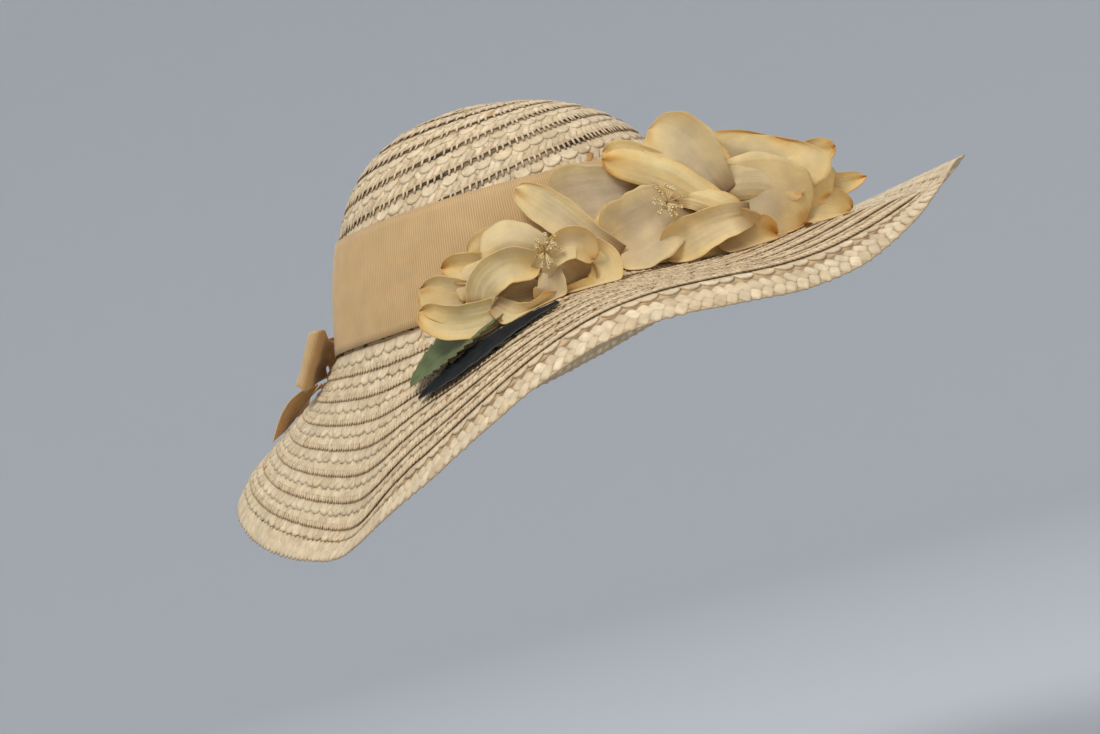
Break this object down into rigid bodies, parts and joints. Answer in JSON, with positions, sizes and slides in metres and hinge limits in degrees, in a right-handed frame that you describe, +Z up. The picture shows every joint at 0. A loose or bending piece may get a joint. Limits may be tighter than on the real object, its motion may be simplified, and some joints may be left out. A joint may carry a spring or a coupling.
{
  "type": "straw sun hat",
  "caption": "Wide-brimmed straw sun hat sewn from lapped rounds of braid, with a ribbon band, a spray of cloth flowers and leaves, and a ribbon bow with loose tails at the back.",
  "frame": {"origin": "Centre of the oval head opening, on the plane where the crown meets the brim.", "axes": "+Z up out of the crown, -Y to the front of the hat, -X to the wearer's right, where the flowers are. The head opening faces -Z."},
  "size_m": [0.398, 0.4116, 0.2021],
  "materials": {
    "straw": "matt woven straw braid, pale cream-beige with brown shadows",
    "grosgrain_ribbon": "matt tan grosgrain ribbon with fine ribs across its width",
    "inner_ribbon": "plain matt ribbon",
    "cloth_petal": "soft matt stiffened cloth, cream-yellow with orange-brown edges",
    "stamen_beads": "small pale satin beads on thread",
    "wrapped_stem": "matt paper-wrapped wire",
    "green_cloth_leaf": "matt olive-green stiffened cloth",
    "dark_velvet_leaf": "charcoal velvet"
  },
  "bodies": {
    "hat": {"bow_knot": "grosgrain_ribbon", "bow_loop_left": "grosgrain_ribbon", "bow_loop_right": "grosgrain_ribbon", "brim_row_1": "straw", "brim_row_2": "straw", "brim_row_3": "straw", "brim_row_4": "straw", "brim_row_5": "straw", "brim_row_6": "straw", "brim_row_7": "straw", "brim_row_8": "straw", "crown_button": "straw", "crown_row_01": "straw", "crown_row_02": "straw", "crown_row_03": "straw", "crown_row_04": "straw", "crown_row_05": "straw", "crown_row_06": "straw", "crown_row_07": "straw", "crown_row_08": "straw", "crown_row_09": "straw", "crown_row_10": "straw", "dark_leaf": "dark_velvet_leaf", "front_flower_calyx": "wrapped_stem", "front_flower_petal_back_low": "cloth_petal", "front_flower_petal_crest": "cloth_petal", "front_flower_petal_low": "cloth_petal", "front_flower_petal_point_front": "cloth_petal", "front_flower_petal_point_low": "cloth_petal", "front_flower_petal_point_top": "cloth_petal", "front_flower_petal_round": "cloth_petal", "front_flower_petal_upper": "cloth_petal", "front_flower_stamens": "stamen_beads", "green_leaf": "green_cloth_leaf", "hat_band": "grosgrain_ribbon", "middle_flower_calyx": "wrapped_stem", "middle_flower_petal_back": "cloth_petal", "middle_flower_petal_back_low": "cloth_petal", "middle_flower_petal_front_low": "cloth_petal", "middle_flower_petal_front_top": "cloth_petal", "middle_flower_petal_low": "cloth_petal", "middle_flower_petal_top": "cloth_petal", "middle_flower_stamens": "stamen_beads", "rear_flower_calyx": "wrapped_stem", "rear_flower_petal_front_low": "cloth_petal", "rear_flower_petal_inner_front": "cloth_petal", "rear_flower_petal_inner_top": "cloth_petal", "rear_flower_petal_low": "cloth_petal", "rear_flower_petal_outer_back": "cloth_petal", "rear_flower_petal_outer_low": "cloth_petal", "rear_flower_petal_side": "cloth_petal", "rear_flower_stamens": "stamen_beads", "spray_stem": "wrapped_stem", "sweatband": "inner_ribbon"},
    "left_tail": {"bow_tail_left": "grosgrain_ribbon"},
    "right_tail": {"bow_tail_right": "grosgrain_ribbon"}
  },
  "joints": [
    {"name": "left_tail_lift", "type": "hinge", "parent": "hat", "child": "left_tail", "pos_m": [0.0052, 0.1245, -0.0105], "axis": [1, 0, 0], "range_deg": [0, 45]},
    {"name": "right_tail_lift", "type": "hinge", "parent": "hat", "child": "right_tail", "pos_m": [-0.0052, 0.1245, -0.0105], "axis": [1, 0, 0], "range_deg": [0, 45]}
  ]
}
